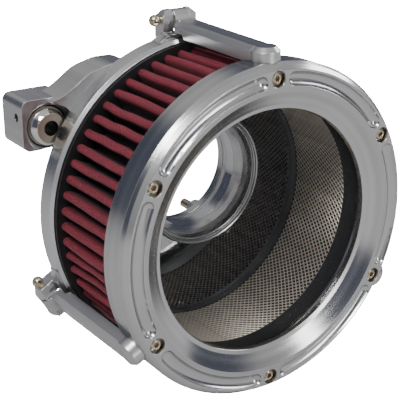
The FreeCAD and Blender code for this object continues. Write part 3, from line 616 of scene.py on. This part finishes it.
def makeCamera():
    camera = bpy.data.cameras.new("camera")
    camera.lens = view["lens"]
    camera.sensor_width = view["sensor"]
    camera.clip_start = 0.01
    holder = bpy.data.objects.new("camera", camera)
    bpy.context.scene.collection.objects.link(holder)
    holder.location = view["spot"]
    toward = Vector(view["aim"]) - Vector(view["spot"])
    holder.rotation_euler = toward.to_track_quat("-Z", "Y").to_euler()
    bpy.context.scene.camera = holder
    print("camera placed")


paper = {
    "half": 6.0,  # half the side of the floor, in metres
    "color": (0.50, 0.50, 0.51, 1),
    "rough": 0.9,
    "glow": 40.0,  # only seen by the camera, so the paper shows white
    "glowShare": 0.86,
    "gap": 0.5 * mm,  # below the part
}


def makeFloor(low):
    size = paper["half"]
    corners = np.array([[-size, -size, low], [size, -size, low], [size, size, low], [-size, size, low]])
    floor = meshFrom("floor", corners, np.array([[0, 1, 2, 3]]))
    material, tree, shader = newMaterial("paleFloor")
    shader.inputs["Base Color"].default_value = paper["color"]
    shader.inputs["Roughness"].default_value = paper["rough"]
    glow = tree.nodes.new("ShaderNodeEmission")
    glow.inputs["Strength"].default_value = paper["glow"]
    seen = tree.nodes.new("ShaderNodeLightPath")
    mix = tree.nodes.new("ShaderNodeMixShader")
    share = mathNode(tree, "MULTIPLY", seen.outputs["Is Camera Ray"], paper["glowShare"])
    link(tree, share, mix.inputs[0])
    link(tree, shader.outputs[0], mix.inputs[1])
    link(tree, glow.outputs[0], mix.inputs[2])
    link(tree, mix.outputs[0], tree.nodes["Material Output"].inputs["Surface"])
    floor.data.materials.append(material)
    print("floor laid")


lamps = [
    {"name": "key", "at": (-0.9, -0.7, 1.3), "aim": (0, -0.05, 0), "size": (0.6, 0.6), "power": 22},
    {"name": "front", "at": (0.35, -1.5, 0.35), "aim": (0, -0.05, 0), "size": (0.25, 1.0), "power": 7},
    {"name": "right", "at": (1.2, -0.2, 0.6), "aim": (0, -0.05, 0), "size": (0.8, 0.5), "power": 9},
]


def makeLamps():
    for lamp in lamps:
        light = bpy.data.lights.new(lamp["name"], "AREA")
        light.shape = "RECTANGLE"
        light.size, light.size_y = lamp["size"]
        light.energy = lamp["power"]
        holder = bpy.data.objects.new(lamp["name"], light)
        bpy.context.scene.collection.objects.link(holder)
        holder.location = lamp["at"]
        toward = Vector(lamp["aim"]) - Vector(lamp["at"])
        holder.rotation_euler = toward.to_track_quat("-Z", "Y").to_euler()
    print("lamps placed:", len(lamps))


studio = {
    "panels": 5.0,  # bright panels round the part
    "turn": 0.6,
    "panelEdge": (0.25, 0.75),
    "dark": (0.09, 0.10, 0.14),
    "light": (0.50, 0.50, 0.51),
    "topColor": (0.62, 0.63, 0.65),
    "topRange": (0.55, 0.8),  # heights where the wall turns into the ceiling
    "white": 40.0,  # strength of the white that only the camera sees
}


def makeWorld():
    world = bpy.data.worlds.new("studio")
    bpy.context.scene.world = world
    world.use_nodes = True
    tree = world.node_tree
    ground = tree.nodes["Background"]
    out = tree.nodes["World Output"]
    direction = tree.nodes.new("ShaderNodeTexCoord")
    split = tree.nodes.new("ShaderNodeSeparateXYZ")
    link(tree, direction.outputs["Generated"], split.inputs[0])
    turn = mathNode(tree, "ARCTAN2", split.outputs["Y"], split.outputs["X"])
    phase = mathNode(tree, "ADD", mathNode(tree, "MULTIPLY", turn, studio["panels"]), studio["turn"])
    panel = mathNode(tree, "SINE", phase)
    level = mathNode(tree, "ADD", mathNode(tree, "MULTIPLY", panel, 0.5), 0.5)  # from -1..1 to 0..1
    wall = rampColor(tree, level, studio["dark"], studio["light"], *studio["panelEdge"])
    top = rampColor(tree, split.outputs["Z"], (0, 0, 0), (1, 1, 1), *studio["topRange"])
    link(tree, mixColor(tree, top, wall, studio["topColor"]), ground.inputs["Color"])
    white = tree.nodes.new("ShaderNodeBackground")
    white.inputs["Color"].default_value = (1, 1, 1, 1)
    white.inputs["Strength"].default_value = studio["white"]
    seen = tree.nodes.new("ShaderNodeLightPath")
    mix = tree.nodes.new("ShaderNodeMixShader")
    link(tree, seen.outputs["Is Camera Ray"], mix.inputs[0])
    link(tree, ground.outputs[0], mix.inputs[1])
    link(tree, white.outputs[0], mix.inputs[2])
    link(tree, mix.outputs[0], out.inputs["Surface"])
    print("world made")


makeCamera()
makePleats()
makeScreen()

turned = makeMetal("turnedAluminium")
milled = makeMetal("milledAluminium")
nickel = makeMetal("nickelSteel")
blackSteel = makeMetal("blackSteel")
steel = makeMetal("screenSteel", edges=False, metal=0.55)
capBlack = makeBlack("capBlack")
sealBlack = makeBlack("sealBlack")

finishes = {
    "cover_ring": turned,
    "ring_screws": nickel,
    "lens": makeLensMaterial(),
    "lens_gasket": sealBlack,
    "lens_retainer": turned,
    "filter_front_cap": capBlack,
    "filter_rear_cap": capBlack,
    "backplate": makePlate(),
    "velocity_stack": turned,
    "throttle_adapter": turned,
    "adapter_seal": sealBlack,
    "throttle_screws": nickel,
    "dowel_sleeves": milled,
    "adapter_screws": nickel,
    "pleated_gauze": makeGauze(),
    "diamond_screen": steel,
}
for which in ("upper", "left", "right"):
    finishes["latch_arm_" + which] = milled
    finishes["hinge_pin_" + which] = nickel
for which in ("left", "right"):
    finishes[which + "_mount_arm"] = milled
    finishes[which + "_arm_screws"] = nickel
    finishes[which + "_set_screw"] = blackSteel
    finishes[which + "_swivel_ball"] = makeBall(which)
for name, material in finishes.items():
    paint(name, material)
print("materials on:", len(finishes))

makeFloor(cadBox[0][2] - paper["gap"])
makeLamps()
makeWorld()
